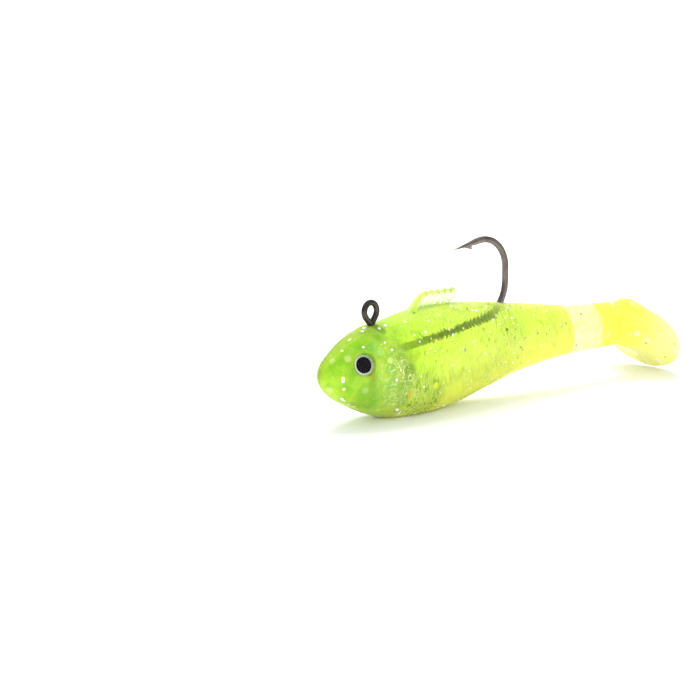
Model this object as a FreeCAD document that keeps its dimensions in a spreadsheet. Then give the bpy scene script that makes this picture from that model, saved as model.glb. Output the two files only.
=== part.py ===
"""A pre-rigged swimbait: soft plastic fish on a lead-weighted jig hook.

Units are millimetres. +X runs from the snout to the tail, +Z is up and the fish's left flank faces -Y.
The origin is under the middle of the lure, on the surface that its belly rests on.
"""
import FreeCAD, Part
import math
import os

Vector = FreeCAD.Vector
doc = FreeCAD.newDocument("swimbait")
sheet = doc.addObject("Spreadsheet::Sheet", "dims")

DIMENSIONS = {
    "overall_length": 110.0,
    # how far the blocks that cut the moulding reach past it
    "margin": 10.0,
    # film under the skin
    "foil_depth": 1.1,
    "foil_thickness": 0.2,
    "foil_start": 11.4,
    "foil_low": 3.5,
    "foil_high": 20.0,
    "foil_reach": 12.0,
    "foil_gap": 1.5,
    "foil_round_at": 17.5,
    "foil_round_height": 5.5,
    "foil_round_radius": 13.4,
    # flexing zones, measured from the snout
    "waist_at": 60.0,
    "wrist_at": 79.0,
    "ankle_at": 93.0,
    "flex_length": 4.0,
    # hook wire and its path, measured from the snout and the floor
    "wire_radius": 0.7,
    "ring_radius": 1.65,
    "ring_at": 14.4,
    "ring_height": 25.2,
    "ring_land_radius": 0.93,
    "ring_land_wall": 0.5,
    "ring_land_length": 0.5,
    "leg_bend_at": 17.2,
    "leg_bend_radius": 3.0,
    "shank_angle": 8.1,
    "lower_bend_radius": 9.0,
    "upper_bend_radius": 7.3,
    "bend_at": 56.2,
    "bend_height": 27.6,
    "bend_straight": 3.0,
    "spear_angle": 11.0,
    "spear_length": 3.6,
    "point_length": 4.6,
    "point_tip_radius": 0.06,
    "barb_thickness": 0.5,
    "barb_root": 0.9,
    "barb_length": 1.9,
    "barb_heel": 1.5,
    "barb_lift": 0.75,
    "barb_sink": 0.3,
    # eyes
    "eye_at": 8.3,
    "eye_height": 14.2,
    "eye_side": 5.45,
    "eye_depth": 1.15,
    "eye_forward": 0.25,
    "eye_outward": 0.92,
    "eye_upward": 0.29,
    "dome_radius": 2.6,
    "dome_rim": 1.05,
    "dome_height": 1.75,
    "iris_radius": 2.2,
    "iris_thickness": 0.2,
    "pupil_radius": 1.7,
    "pupil_thickness": 0.1,
    # dorsal fin
    "fin_base_height": 24.75,
    "fin_start": 25.2,
    "fin_length": 14.2,
    "fin_rise": 1.9,
    "fin_rake": 3.2,
    "fin_overhang": 0.6,
    "fin_scallop": 0.35,
    "fin_thickness": 0.8,
    "fin_rib_count": 6,
    "fin_rib_at": 3.4,
    "fin_rib_lean": 1.6,
    "fin_rib_foot": 0.5,
    "fin_rib_tip": 0.4,
    "fin_rib_thickness": 1.2,
    "fin_web_thickness": 0.8,
    "fin_web_inset": 0.2,
    "fin_web_low": 20.0,
    # tail paddle
    "paddle_tilt": 32.0,
    "paddle_at": 98.2,
    "paddle_height": 18.4,
    "paddle_half_width": 12.4,
    "paddle_drop": 21.0,
    "neck_end_radius": 7.6,
    "neck_end_half": 3.6,
    "neck_end_drop": 8.6,
}

# Oval sections of the soft body: distance from the snout, top, bottom and half width.
BODY_SECTIONS = {
    "snout": (0.0, 12.4, 10.2, 1.0),
    "lip": (1.5, 14.6, 8.0, 3.0),
    "muzzle": (4.0, 16.4, 5.9, 4.4),
    "eye_front": (8.0, 18.9, 3.7, 5.8),
    "cheek": (13.0, 20.7, 1.5, 6.9),
    "gill": (19.0, 21.9, -0.1, 7.6),
    "shoulder": (26.0, 23.6, -0.6, 7.9),
    "fin_middle": (34.0, 24.3, 0.0, 7.7),
    "flank": (42.0, 23.9, 1.4, 7.0),
    "vent": (50.0, 23.1, 3.4, 6.1),
    "hip": (58.0, 22.0, 5.1, 5.2),
    "loin": (66.0, 20.9, 6.2, 4.4),
    "rump": (74.0, 19.8, 7.0, 3.7),
    "tail_root": (82.0, 19.1, 7.3, 3.0),
    "stem": (90.0, 18.7, 7.4, 2.5),
    "stem_end": (97.0, 18.5, 7.6, 2.2),
}

# Oval sections of the lead casting: a head lobe and a keel that runs back along the belly.
WEIGHT_SECTIONS = {
    "weight_nose": (2.6, 13.2, 9.0, 1.7),
    "weight_front": (4.6, 15.0, 7.0, 3.0),
    "weight_brow": (8.0, 17.2, 5.3, 4.0),
    "weight_neck": (13.0, 18.4, 3.6, 4.9),
    "weight_step": (17.0, 17.2, 2.6, 5.4),
    "weight_keel": (22.0, 13.4, 2.2, 5.5),
    "weight_heel": (28.0, 10.8, 2.3, 4.2),
    "weight_toe": (32.5, 8.0, 3.2, 2.2),
}

# Slices of the paddle through its thickness, from its front face to its rear face:
# offset along the disc's normal, and how much smaller than the rim each one is.
PADDLE_SLICES = {
    "paddle_front": (-1.2, 1.0),
    "paddle_front_rim": (-0.5, 0.0),
    "paddle_rear_rim": (0.5, 0.0),
    "paddle_rear": (1.2, 0.8),
}

# Right half of the paddle's outline: fraction of its half width and fraction of its drop.
PADDLE_OUTLINE = [(0.14, 0.0), (0.44, 0.10), (0.80, 0.23), (1.0, 0.45), (0.93, 0.69), (0.58, 0.91)]


def fill_sheet():
    """Write every driving dimension in a cell of its own, with its name as the alias."""
    rows = dict(DIMENSIONS)
    for table in (BODY_SECTIONS, WEIGHT_SECTIONS):
        for name, (at, top, low, half) in table.items():
            rows[name + "_at"] = at
            rows[name + "_top"] = top
            rows[name + "_low"] = low
            rows[name + "_half"] = half
    for name, (offset, inset) in PADDLE_SLICES.items():
        rows[name + "_offset"] = offset
        rows[name + "_inset"] = inset
    for number, (name, value) in enumerate(rows.items(), start=1):
        sheet.set("A%d" % number, name)
        sheet.set("B%d" % number, str(value))
        sheet.setAlias("B%d" % number, name)
    doc.recompute()


def size(name):
    """The value of a cell, for the few places that are worked out in code."""
    return float(sheet.get(name))


def station(distance):
    """Distance from the snout, in the frame of the part."""
    return distance - size("overall_length") / 2


def add(kind, name, label=None):
    part = doc.addObject(kind, name)
    part.Label = label or name
    return part


def bind(part, **expressions):
    """Bind properties of an object to expressions on the sheet."""
    for name, expression in expressions.items():
        part.setExpression(name, expression)


def bind_base(part, x=None, y=None, z=None):
    for axis, expression in (("x", x), ("y", y), ("z", z)):
        if expression is not None:
            part.setExpression(".Placement.Base." + axis, expression)


def oval(name, section, inset="0"):
    """An upright oval across the body at one named section."""
    ring = add("Part::Ellipse", name)
    ring.Placement.Rotation = FreeCAD.Rotation(Vector(0, 1, 0), -90)
    bind(ring, MajorRadius="(dims.%s_top - dims.%s_low) / 2 - %s" % (section, section, inset))
    bind(ring, MinorRadius="dims.%s_half - %s" % (section, inset))
    bind_base(ring, x="dims.%s_at - dims.overall_length / 2" % section,
              z="(dims.%s_top + dims.%s_low) / 2" % (section, section))
    return ring


def loft(name, sections):
    body = add("Part::Loft", name)
    body.Sections = sections
    body.Solid = True
    body.Ruled = False
    return body


def block(name, start, end, low="-dims.margin", high="5 * dims.margin", near="-2 * dims.margin",
          far="2 * dims.margin"):
    """A box between two distances from the snout, used to cut and share out the soft body."""
    box = add("Part::Box", name)
    bind(box, Length="(%s) - (%s)" % (end, start))
    bind(box, Width="(%s) - (%s)" % (far, near))
    bind(box, Height="(%s) - (%s)" % (high, low))
    bind_base(box, x="(%s) - dims.overall_length / 2" % start, y=near, z=low)
    return box


def cut(name, base, tool):
    result = add("Part::Cut", name)
    result.Base = base
    result.Tool = tool
    return result


def common(name, base, tool):
    result = add("Part::Common", name)
    result.Base = base
    result.Tool = tool
    return result


def fuse(name, shapes):
    result = add("Part::MultiFuse", name)
    result.Shapes = shapes
    return result


def plane_of(body, role):
    return next(item for item in body.Origin.OriginFeatures if item.Role == role)


def sketch_on(body, role, name, offset=0.0):
    sketch = body.newObject("Sketcher::SketchObject", name)
    sketch.AttachmentSupport = [(plane_of(body, role), "")]
    sketch.MapMode = "FlatFace"
    sketch.AttachmentOffset = FreeCAD.Placement(Vector(0, 0, offset), FreeCAD.Rotation())
    return sketch


# Hook ---------------------------------------------------------------------------------------------

def along(point, angle, length):
    """The point a given length away along a direction in the X-Z plane, in degrees from +X."""
    turn = math.radians(angle)
    return Vector(point.x + length * math.cos(turn), 0, point.z + length * math.sin(turn))


def hook_corners():
    """The points where the straight runs and arcs of the hook's centre line meet."""
    shank = size("shank_angle")
    bend_x = station(size("bend_at"))
    bend_z = size("bend_height")
    upper_z = bend_z + size("bend_straight")
    lower = size("lower_bend_radius")
    reach = lower * math.tan(math.radians((90 - shank) / 2))
    corner = Vector(bend_x, 0, bend_z - reach)
    shank_end = along(corner, 180 + shank, reach)

    ring = Vector(station(size("ring_at")), 0, size("ring_height"))
    leg_start = Vector(ring.x, 0, ring.z - size("ring_radius"))
    heel_x = station(size("leg_bend_at"))
    heel = Vector(heel_x, 0, shank_end.z - (shank_end.x - heel_x) * math.tan(math.radians(shank)))
    leg_angle = math.degrees(math.atan2(heel.z - leg_start.z, heel.x - leg_start.x))
    turn = shank - leg_angle
    leg_reach = size("leg_bend_radius") * math.tan(math.radians(turn / 2))
    leg_end = along(heel, leg_angle + 180, leg_reach)
    shank_start = along(heel, shank, leg_reach)
    leg_centre = along(leg_end, leg_angle + 90, size("leg_bend_radius"))

    lower_centre = Vector(bend_x - lower, 0, bend_z)
    lower_end = Vector(bend_x, 0, bend_z)
    upper = size("upper_bend_radius")
    upper_start = Vector(bend_x, 0, upper_z)
    upper_centre = Vector(bend_x - upper, 0, upper_z)
    spear = 90 + size("spear_angle")
    spear_start = along(upper_centre, spear, upper)
    spear_end = along(spear_start, spear + 90, size("spear_length"))
    return {
        "ring": ring, "leg_start": leg_start, "leg_end": leg_end, "leg_centre": leg_centre,
        "shank_start": shank_start, "shank_end": shank_end, "lower_centre": lower_centre,
        "lower_end": lower_end, "upper_start": upper_start, "upper_centre": upper_centre,
        "spear_start": spear_start, "spear_end": spear_end, "spear_direction": spear + 90,
    }


def arc_through(centre, start, end, radius):
    """An arc edge in the X-Z plane, the short way from start to end."""
    middle = (start + end) * 0.5 - centre
    middle.normalize()
    return Part.Arc(start, centre + middle * radius, end).toShape()


def make_hook():
    """Forged jig hook: line-tie ring, leg, shank, round bend, tapered point and barb."""
    at = hook_corners()
    radius = size("wire_radius")
    spine = add("Part::Feature", "hook_line")
    spine.Shape = Part.Wire([
        Part.makeLine(at["leg_start"], at["leg_end"]),
        arc_through(at["leg_centre"], at["leg_end"], at["shank_start"], size("leg_bend_radius")),
        Part.makeLine(at["shank_start"], at["shank_end"]),
        arc_through(at["lower_centre"], at["shank_end"], at["lower_end"], size("lower_bend_radius")),
        Part.makeLine(at["lower_end"], at["upper_start"]),
        arc_through(at["upper_centre"], at["upper_start"], at["spear_start"], size("upper_bend_radius")),
        Part.makeLine(at["spear_start"], at["spear_end"]),
    ])
    section = add("Part::Circle", "hook_section")
    bind(section, Radius="dims.wire_radius")
    leg = at["leg_end"] - at["leg_start"]
    section.Placement = FreeCAD.Placement(at["leg_start"], FreeCAD.Rotation(Vector(0, 0, 1), leg))
    wire = add("Part::Sweep", "hook_wire")
    wire.Sections = [section]
    wire.Spine = (spine, ["Edge%d" % (number + 1) for number in range(len(spine.Shape.Edges))])
    wire.Solid = True
    wire.Frenet = True

    ring = add("Part::Torus", "hook_ring")
    bind(ring, Radius1="dims.ring_radius", Radius2="dims.wire_radius")
    ring.Placement = FreeCAD.Placement(at["ring"], FreeCAD.Rotation(Vector(1, 0, 0), 90))
    land = add("Part::Cylinder", "ring_land")
    bind(land, Radius="dims.ring_land_radius + dims.ring_land_wall", Height="dims.ring_land_length")
    middle = Vector(0, size("ring_land_length") / 2, 0)
    land.Placement = FreeCAD.Placement(at["ring"] + middle, FreeCAD.Rotation(Vector(1, 0, 0), 90))
    hole = add("Part::Cylinder", "ring_hole")
    bind(hole, Radius="dims.ring_land_radius", Height="4 * dims.wire_radius")
    hole_start = Vector(0, 2 * radius, 0)
    hole.Placement = FreeCAD.Placement(at["ring"] + hole_start, FreeCAD.Rotation(Vector(1, 0, 0), 90))

    direction = at["spear_direction"]
    spear = along(Vector(), direction, 1)
    point = add("Part::Cone", "hook_point")
    bind(point, Radius1="dims.wire_radius", Radius2="dims.point_tip_radius", Height="dims.point_length")
    point.Placement = FreeCAD.Placement(at["spear_end"], FreeCAD.Rotation(Vector(0, 0, 1), spear))

    # The barb lifts off the inner side of the wire, its tip facing back to the bend.
    root = along(at["spear_end"], direction, size("barb_root"))
    inner = direction + 90
    outline = [
        along(root, inner, size("barb_sink")),
        along(along(root, direction, -size("barb_length")), inner, radius + size("barb_lift")),
        along(along(root, direction, -size("barb_heel")), inner, size("barb_sink")),
    ]
    wedge = add("Part::Feature", "hook_barb")
    thickness = size("barb_thickness")
    face = Part.Face(Part.makePolygon(outline + outline[:1]))
    face.translate(Vector(0, -thickness / 2, 0))
    wedge.Shape = face.extrude(Vector(0, thickness, 0))

    blank = fuse("hook_blank", [wire, ring, land, point, wedge])
    return cut("hook", blank, hole)


# Eyes ---------------------------------------------------------------------------------------------

def eye_placement(side):
    """Seat of an eye, its +Z along the outward normal of the cheek. side is -1 left, +1 right."""
    normal = Vector(-size("eye_forward"), side * size("eye_outward"), size("eye_upward"))
    normal.normalize()
    surface = Vector(station(size("eye_at")), side * size("eye_side"), size("eye_height"))
    return FreeCAD.Placement(surface - normal * size("eye_depth"),
                             FreeCAD.Rotation(Vector(0, 0, 1), normal))


def make_eye(side, side_name):
    """Iris foil disc, printed pupil and the clear dome that is cast over both."""
    seat = eye_placement(side)
    iris = add("Part::Cylinder", "eye_iris_" + side_name)
    bind(iris, Radius="dims.iris_radius", Height="dims.iris_thickness")
    iris.Placement = seat
    pupil = add("Part::Cylinder", "eye_pupil_" + side_name)
    bind(pupil, Radius="dims.pupil_radius", Height="dims.pupil_thickness")
    pupil.Placement = seat.multiply(FreeCAD.Placement(Vector(0, 0, size("iris_thickness")),
                                                      FreeCAD.Rotation()))

    dome = add("PartDesign::Body", "eye_dome_" + side_name)
    profile = sketch_on(dome, "XZ_Plane", "dome_profile_" + side_name)
    rim = size("dome_rim")
    crown = size("dome_height")
    radius = size("dome_radius")
    iris_top = size("iris_thickness")
    pupil_top = iris_top + size("pupil_thickness")
    corners = [
        Vector(0, crown, 0), Vector(0, pupil_top, 0), Vector(size("pupil_radius"), pupil_top, 0),
        Vector(size("pupil_radius"), iris_top, 0), Vector(size("iris_radius"), iris_top, 0),
        Vector(size("iris_radius"), 0, 0), Vector(radius, 0, 0), Vector(radius, rim, 0),
    ]
    for start, end in zip(corners, corners[1:]):
        profile.addGeometry(Part.LineSegment(start, end), False)
    rise = crown - rim
    curve = (radius ** 2 + rise ** 2) / (2 * rise)
    sweep = math.asin(radius / curve)
    shoulder = Vector(curve * math.sin(sweep / 2), crown - curve * (1 - math.cos(sweep / 2)), 0)
    profile.addGeometry(Part.Arc(corners[-1], shoulder, corners[0]), False)
    turned = dome.newObject("PartDesign::Revolution", "dome_turned_" + side_name)
    turned.Profile = profile
    turned.ReferenceAxis = (profile, ["V_Axis"])
    turned.Angle = 360
    dome.Tip = turned
    dome.Placement = seat

    socket = add("Part::Cylinder", "eye_socket_" + side_name)
    bind(socket, Radius="dims.dome_radius", Height="3 * dims.dome_height")
    socket.Placement = seat
    return iris, pupil, dome, socket


# Soft body ----------------------------------------------------------------------------------------

def make_blank():
    """The whole moulding from snout to tail stem, flat where the belly rests."""
    shape = loft("body_shape", [oval("oval_" + name, name) for name in BODY_SECTIONS])
    floor = block("belly_floor", "-dims.margin", "dims.overall_length + dims.margin", high="0")
    return cut("body_blank", shape, floor)


def make_weight(hook):
    """Lead casting around the leg and front of the shank, with a keel under it."""
    lobe = loft("weight_shape", [oval("oval_" + name, name) for name in WEIGHT_SECTIONS])
    return cut("head_weight", lobe, hook)


def make_foils():
    """Crinkled holographic film that wraps each side of the lead, just under the skin."""
    names = ["eye_front", "cheek", "gill", "shoulder", "fin_middle"]
    inner = "dims.foil_depth + dims.foil_thickness"
    outside = loft("foil_outside", [oval("foil_out_" + name, name, "dims.foil_depth") for name in names])
    inside = loft("foil_inside", [oval("foil_in_" + name, name, "(%s)" % inner) for name in names])
    sleeve = cut("foil_sleeve", outside, inside)
    foils = []
    for side_name, near, far in (("left", "-dims.foil_reach", "-dims.foil_gap"),
                                 ("right", "dims.foil_gap", "dims.foil_reach")):
        window = block("foil_window_" + side_name, "dims.foil_start", "dims.fin_middle_at",
                       low="dims.foil_low", high="dims.foil_high", near=near, far=far)
        rounded = add("Part::Cylinder", "foil_round_" + side_name)
        bind(rounded, Radius="dims.foil_round_radius", Height="4 * dims.foil_reach")
        rounded.Placement.Rotation = FreeCAD.Rotation(Vector(1, 0, 0), 90)
        bind_base(rounded, x="dims.foil_round_at - dims.overall_length / 2", y="2 * dims.foil_reach",
                  z="dims.foil_round_height")
        shaped = common("foil_shape_" + side_name, window, rounded)
        foils.append(common("foil_" + side_name, sleeve, shaped))
    return foils


def make_body_front(blank, hook, weight_shape, foils, sockets):
    """Head and shoulders, moulded around the lead, the film, the shank and the eyes."""
    half = block("front_share", "-dims.margin", "dims.waist_at - dims.flex_length / 2")
    solid = common("front_solid", blank, half)
    inserts = fuse("front_inserts", [weight_shape, hook] + foils + sockets)
    return cut("body_front", solid, inserts)


def make_segments(blank):
    """The rest of the moulding, shared out at its flexing zones."""
    half = "dims.flex_length / 2"
    spans = {
        "waist_flex": ("dims.waist_at - " + half, "dims.waist_at + " + half),
        "body_rear": ("dims.waist_at + " + half, "dims.wrist_at - " + half),
        "wrist_flex": ("dims.wrist_at - " + half, "dims.wrist_at + " + half),
        "tail_stem": ("dims.wrist_at + " + half, "dims.ankle_at - " + half),
        "ankle_flex": ("dims.ankle_at - " + half, "dims.ankle_at + " + half),
        "paddle_neck": ("dims.ankle_at + " + half, "dims.ankle_at + dims.flex_length"),
    }
    return {name: common(name, blank, block(name + "_share", start, end))
            for name, (start, end) in spans.items()}


def paddle_curve(inset):
    """Closed outline of the paddle in its own plane, its top at the origin and its toe below."""
    width = size("paddle_half_width") - inset
    drop = size("paddle_drop") - 2 * inset
    right = [Vector(width * across, -inset - drop * down, 0) for across, down in PADDLE_OUTLINE]
    toe = Vector(0, -inset - drop, 0)
    left = [Vector(-point.x, point.y, 0) for point in reversed(right)]
    curve = Part.BSplineCurve()
    curve.interpolate(Points=right + [toe] + left, PeriodicFlag=True)
    return curve


def make_paddle(neck):
    """Boot tail: a tilted spade-shaped disc, and the neck that joins it to the stem."""
    disc = add("PartDesign::Body", "paddle_disc")
    slices = []
    for name in PADDLE_SLICES:
        outline = sketch_on(disc, "XY_Plane", name + "_outline", size(name + "_offset"))
        outline.addGeometry(paddle_curve(size(name + "_inset")), False)
        slices.append(outline)
    skin = disc.newObject("PartDesign::AdditiveLoft", "paddle_loft")
    skin.Profile = slices[0]
    skin.Sections = slices[1:]
    disc.Tip = skin
    tilt = math.radians(size("paddle_tilt"))
    upward = Vector(-math.sin(tilt), 0, math.cos(tilt))
    normal = Vector(math.cos(tilt), 0, math.sin(tilt))
    top = Vector(station(size("paddle_at")), 0, size("paddle_height"))
    disc.Placement = FreeCAD.Placement(top, FreeCAD.Rotation(Vector(0, 1, 0), upward, normal, "XYZ"))

    start = oval("oval_neck_start", "stem_end")
    end = add("Part::Ellipse", "oval_neck_end")
    bind(end, MajorRadius="dims.neck_end_radius", MinorRadius="dims.neck_end_half")
    end.Placement = FreeCAD.Placement(top - upward * size("neck_end_drop"),
                                      FreeCAD.Rotation(Vector(0, 1, 0), -90 - size("paddle_tilt")))
    gusset = loft("paddle_gusset", [start, end])
    return fuse("tail_paddle", [neck, gusset, disc])


def make_fin():
    """Raked dorsal fin with ribs, thin enough to fold over sideways at its root."""
    base = size("fin_base_height")
    start = station(size("fin_start"))
    length = size("fin_length")
    rake = size("fin_rake")
    ribs = int(size("fin_rib_count"))
    pitch = (length + size("fin_overhang") - rake) / ribs
    top = base + size("fin_rise")
    crest = top + size("fin_scallop")
    front_foot = Vector(start, base, 0)
    rear_foot = Vector(start + length, base, 0)
    fin = add("PartDesign::Body", "dorsal_fin")
    outline = sketch_on(fin, "XZ_Plane", "fin_outline")
    tips = [Vector(start + rake + number * pitch, top, 0) for number in range(ribs + 1)]
    for left, right in zip(tips, tips[1:]):
        middle = Vector((left.x + right.x) / 2, crest, 0)
        outline.addGeometry(Part.Arc(left, middle, right), False)
    for first, second in ((front_foot, tips[0]), (tips[-1], rear_foot), (rear_foot, front_foot)):
        outline.addGeometry(Part.LineSegment(first, second), False)
    blade = fin.newObject("PartDesign::Pad", "fin_blade")
    blade.Profile = outline
    bind(blade, Length="dims.fin_thickness")
    blade.Midplane = True

    rib_outline = sketch_on(fin, "XZ_Plane", "rib_outline")
    foot = start + size("fin_rib_at")
    tip = foot + size("fin_rib_lean")
    half_foot = size("fin_rib_foot") / 2
    half_tip = size("fin_rib_tip") / 2
    rib = [Vector(foot - half_foot, base, 0), Vector(foot + half_foot, base, 0),
           Vector(tip + half_tip, top, 0), Vector(tip - half_tip, top, 0)]
    for first, second in zip(rib, rib[1:] + rib[:1]):
        rib_outline.addGeometry(Part.LineSegment(first, second), False)
    pad = fin.newObject("PartDesign::Pad", "fin_rib")
    pad.Profile = rib_outline
    bind(pad, Length="dims.fin_rib_thickness")
    pad.Midplane = True
    doc.recompute()
    row = fin.newObject("PartDesign::LinearPattern", "fin_ribs")
    row.Originals = [pad]
    row.Direction = (rib_outline, ["H_Axis"])
    row.Length = pitch * (ribs - 2)
    row.Occurrences = ribs - 1
    fin.Tip = row
    return fin


def make_fin_web(blank):
    """The thin root of the fin, which bends when the fin folds."""
    strip = block("web_strip", "dims.fin_start + dims.fin_web_inset",
                  "dims.fin_start + dims.fin_length - dims.fin_web_inset",
                  low="dims.fin_web_low", high="dims.fin_base_height",
                  near="-dims.fin_web_thickness / 2", far="dims.fin_web_thickness / 2")
    return cut("fin_web", strip, blank)


# Assembly -----------------------------------------------------------------------------------------

def build():
    fill_sheet()
    hook = make_hook()
    blank = make_blank()
    doc.recompute()
    weight = make_weight(hook)
    foils = make_foils()
    eyes = [make_eye(-1, "left"), make_eye(1, "right")]
    doc.recompute()
    sockets = [eye[3] for eye in eyes]
    front = make_body_front(blank, hook, weight.Base, foils, sockets)
    segments = make_segments(blank)
    paddle = make_paddle(segments.pop("paddle_neck"))
    fin = make_fin()
    web = make_fin_web(blank)
    doc.recompute()
    eye_parts = [part for eye in eyes for part in eye[:3]]
    return [hook, weight, front, fin, web, paddle] + foils + eye_parts + list(segments.values())


def check(parts):
    """Stop if any object failed, or a sub-part isn't a sound solid."""
    for item in doc.Objects:
        if "Invalid" in item.State or "Error" in item.State:
            raise RuntimeError("%s failed: %s" % (item.Label, item.State))
    for part in parts:
        if part.Shape.isNull() or not part.Shape.isValid() or not part.Shape.Solids:
            raise RuntimeError("%s has no valid solid" % part.Label)


def export(parts):
    os.makedirs("parts", exist_ok=True)
    for part in parts:
        part.Shape.exportStep("parts/%s.step" % part.Label)


sub_parts = build()
check(sub_parts)
export(sub_parts)
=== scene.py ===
"""Looks of the swimbait: translucent moulding, lead head, film, flakes, eyes and forged hook.

Lengths in this script are millimetres unless a name says otherwise; MM turns them into metres.
"s" is the distance from the snout along the lure, and the frame's +X runs the same way. The side
y < 0 is the lure's left, which the camera sees. "share" places a point in its oval section: sideways
from 0 in the middle plane to 1 at the flank, and upwards from -1 at the belly to 1 at the back.
"""
import math
import random

import bpy
from mathutils import Matrix, Vector, noise


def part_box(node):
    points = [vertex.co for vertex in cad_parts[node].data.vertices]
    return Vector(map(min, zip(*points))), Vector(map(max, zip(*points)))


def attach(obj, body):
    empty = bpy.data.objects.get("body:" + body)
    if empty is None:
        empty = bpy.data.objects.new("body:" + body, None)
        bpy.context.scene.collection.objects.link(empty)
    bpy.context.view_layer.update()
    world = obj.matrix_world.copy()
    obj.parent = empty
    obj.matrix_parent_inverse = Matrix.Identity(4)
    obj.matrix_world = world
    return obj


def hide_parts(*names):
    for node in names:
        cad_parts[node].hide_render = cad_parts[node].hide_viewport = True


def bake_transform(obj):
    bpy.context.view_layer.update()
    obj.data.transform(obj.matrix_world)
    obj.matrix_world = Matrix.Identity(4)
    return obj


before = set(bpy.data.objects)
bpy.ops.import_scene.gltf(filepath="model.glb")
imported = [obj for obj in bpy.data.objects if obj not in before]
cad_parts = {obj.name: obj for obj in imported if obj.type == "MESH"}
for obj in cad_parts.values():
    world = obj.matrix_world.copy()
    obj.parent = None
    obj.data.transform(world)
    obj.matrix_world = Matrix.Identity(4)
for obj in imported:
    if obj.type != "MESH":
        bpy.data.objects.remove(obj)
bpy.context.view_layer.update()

MM = 0.001
SNOUT_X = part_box("body_front")[0][0] / MM

# Moulding: distance from the snout, top, bottom and half width of each oval section.
SECTIONS = [
    (1.5, 14.6, 8.0, 3.0),
    (4.0, 16.8, 5.9, 4.4),
    (8.0, 19.4, 3.7, 5.8),
    (13.0, 21.3, 1.5, 6.9),
    (19.0, 22.2, -0.1, 7.6),
    (26.0, 23.6, -0.6, 7.9),
    (34.0, 24.3, 0.0, 7.7),
    (42.0, 23.9, 1.4, 7.0),
    (50.0, 23.1, 3.4, 6.1),
    (58.0, 22.0, 5.1, 5.2),
    (66.0, 20.9, 6.2, 4.4),
    (74.0, 19.8, 7.0, 3.7),
    (82.0, 19.1, 7.3, 3.0),
    (90.0, 18.7, 7.4, 2.5),
    (97.0, 18.5, 7.6, 2.2),
]
NOSE_LENGTH, NOSE_HEIGHT = SECTIONS[1][0], 11.2   # the snout is rounded off ahead of the second section
FULLNESS = 2.25           # exponent of the oval: 2 is an ellipse, more is boxier
AROUND = 144              # points round each ring of the moulding
RING_STEP = 0.18
RIDGE_PITCH, RIDGE_HEIGHT = 1.25, 0.11
ZIGZAG_HEIGHT, ZIGZAG_REACH = 1.7, 1.15   # each ridge leans this far and back over this height
GILL_AT, GILL_DEPTH = 17.2, 0.16          # the shallow groove behind the cheek

# Flexing zones, as in the CAD: the middle of each.
WAIST, WRIST, ANKLE = 60.0, 79.0, 93.0
FRONT_SEAM = 69.5         # where the front skin meets the tail skin, on the rear body
TAIL_SEAM = 86.0          # where the tail skin meets the paddle skin, on the stem

FIN_START, FIN_LENGTH, FIN_TOP, FIN_RIBS = 24.4, 12.8, 27.6, 5
FIN_FIRST, FIN_LAST = 3.4, 12.6           # where the scallops of its top run, from its start
FIN_PITCH = (FIN_LAST - FIN_FIRST) / FIN_RIBS
FIN_LEAN = 2.2            # how far its top is raked back
FIN_MARK = FIN_START + FIN_FIRST + FIN_PITCH / 2 + FIN_LEAN

WIRE, WIRE_STEP = 0.70, 0.3   # radius of the hook's wire, and the step along it
RING_WIDE, RING_TALL, RING_DROP = 1.82, 2.02, 0.50
POINT_LENGTH = 7.2        # length over which the wire tapers to its point

EYE_AT, EYE_HEIGHT, EYE_SIDE, EYE_DEPTH = 8.3, 14.2, 5.45, 1.15
EYE_NORMAL = (-0.25, 0.92, 0.29)
DOME_RADIUS, IRIS_RADIUS, PUPIL_RADIUS = 2.6, 2.2, 1.84
DOME_CROWN, DOME_RIM = 1.75, 1.05

# The film's outline on the flank: two round lobes, each by its middle (s, z) and radius.
FILM_CHEEK = (12.5, 9.5, 10.6)
FILM_KEEL = (24.6, 4.8, 7.6)
FILM_START, FILM_LENGTH, FILM_LOWEST = 11.4, 20.0, 2.4
FILM_FOOT, FILM_WRAP = -62, 128           # degrees round the body: where it starts, how far it runs
FILM_DEPTH, FILM_THICKNESS = 0.85, 0.08   # under the skin at its shallowest crease

COLOUR_LENGTH, COLOUR_HEIGHT = 112.0, 25.0   # what the skin's colour ramps run over, in s and in height

BODIES = {WAIST: ("front", "rear"), WRIST: ("rear", "stem")}   # the two bodies named for each zone of flakes; nothing bends between them

# Flakes: name, count, from, to, whether they lie level with the skin or sunk in it, the shares of
# silver : pale : grey : gold : dark, smallest and largest radius, and a zone, which is passed on but bends
# nothing.
FLAKES = [
    ("flakes_head", 64, 1.5, 24.0, True, (10, 6, 1, 1, 0), (0.24, 0.52), WAIST),
    ("flakes_flank", 240, 22.0, 56.0, True, (8, 8, 3, 1, 1), (0.14, 0.42), WAIST),
    ("flakes_flank_deep", 160, 24.0, 58.0, False, (6, 2, 1, 1, 2), (0.22, 0.42), WAIST),
    ("flakes_rear", 90, 54.0, 68.0, True, (5, 5, 5, 0, 3), (0.12, 0.28), WAIST),
    ("flakes_rear_deep", 50, 56.0, 69.0, False, (3, 1, 2, 1, 4), (0.16, 0.34), WAIST),
    ("flakes_tail", 26, 71.0, 85.0, True, (3, 3, 3, 0, 3), (0.10, 0.36), WRIST),
    ("flakes_tail_deep", 20, 71.0, 85.0, False, (2, 1, 2, 1, 4), (0.14, 0.32), WRIST),
]
PADDLE_FLAKES, PADDLE_WEIGHTS, PADDLE_SIZES = 26, (3, 3, 2, 1, 4), (0.16, 0.36)
FLAKE_LOOKS = [           # name, 8-bit colour, roughness and metal, in the order of the weights
    ("silver_flake", (255, 255, 250), 0.30, 0.4),
    ("pale_flake", (244, 250, 168), 0.30, 0.4),
    ("grey_flake", (196, 206, 176), 0.25, 0.8),
    ("gold_flake", (246, 204, 84), 0.3, 0.6),
    ("dark_flake", (104, 118, 92), 0.3, 0.8),
]
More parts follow.
